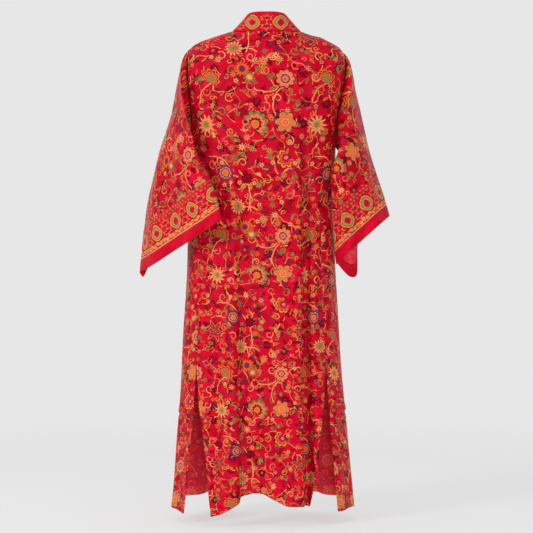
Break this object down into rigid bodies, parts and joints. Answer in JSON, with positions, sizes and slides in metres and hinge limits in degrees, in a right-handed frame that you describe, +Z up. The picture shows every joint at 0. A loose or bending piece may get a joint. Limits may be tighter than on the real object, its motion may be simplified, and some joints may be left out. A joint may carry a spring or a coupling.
{
  "type": "long kimono robe",
  "caption": "Long open-fronted kimono robe with a stand collar band, wide sleeves with cuff bands and side slits, hanging hollow as when worn.",
  "frame": {"origin": "middle of the neck, at the height where the collar band is sewn to the shoulders", "axes": "+Z up towards the neck, -Y out of the open front, +X towards the wearer's left"},
  "size_m": [0.65, 0.2944, 1.2853],
  "materials": {
    "printed_silk": "red satin-faced silk with an all-over floral print",
    "plain_cuff": "plain red satin-faced silk",
    "border_band": "red silk printed with a medallion border"
  },
  "bodies": {
    "root": {"back": "printed_silk", "front_left": "printed_silk", "front_right": "printed_silk", "sleeve_left": "printed_silk", "sleeve_right": "printed_silk", "cuff_band_left": "plain_cuff", "cuff_band_right": "plain_cuff", "collar_nape": "border_band", "collar_left": "border_band", "collar_right": "border_band"}
  },
  "joints": []
}
